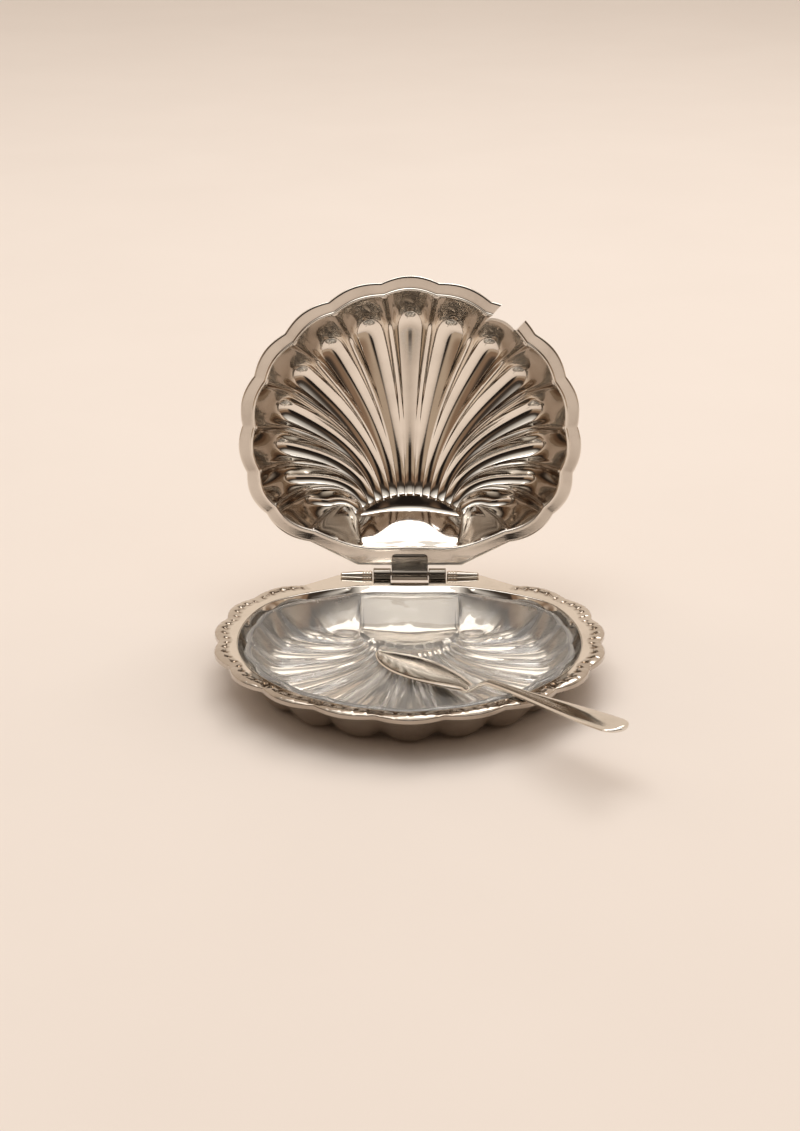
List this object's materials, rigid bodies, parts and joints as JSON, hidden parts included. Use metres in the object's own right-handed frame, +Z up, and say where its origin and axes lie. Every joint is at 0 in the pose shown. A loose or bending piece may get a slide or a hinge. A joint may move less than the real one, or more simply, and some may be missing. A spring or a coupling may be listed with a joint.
{
  "type": "butter dish",
  "caption": "Scallop-shell butter dish of silver plate with a hinged fluted lid, a loose glass liner and a butter knife that leaves through a notch in the lid's rim.",
  "frame": {"origin": "on the table, on the flat under the base's middle rib, on the dish's centre line", "axes": "+Z up from the table, +Y towards the hinge at the back, +X to the right as seen from the front"},
  "size_m": [0.1422, 0.1726, 0.1331],
  "materials": {
    "silver_plate": "polished",
    "knife_plate": "polished",
    "hinge_metal": "worn polish",
    "clear_glass": "pressed, fire-polished"
  },
  "bodies": {
    "base": {"base_shell": "silver_plate", "base_knuckle_left": "hinge_metal", "base_knuckle_right": "hinge_metal", "hinge_pin": "hinge_metal"},
    "lid": {"lid_shell": "silver_plate", "lid_hinge_leaf": "hinge_metal"},
    "liner": {"glass_liner": "clear_glass"},
    "knife": {"butter_knife": "knife_plate"}
  },
  "joints": [
    {"name": "lid_hinge", "type": "hinge", "parent": "base", "child": "lid", "pos_m": [0, 0.062, 0.0183], "axis": [1, 0, 0], "range_deg": [0, 97]},
    {"name": "liner_lift", "type": "slide", "parent": "base", "child": "liner", "axis": [0, 0, 1], "range_m": [0, 0.08]},
    {"name": "knife_lift", "type": "slide", "parent": "liner", "child": "knife", "axis": [0, 0, 1], "range_m": [0, 0.08]}
  ]
}
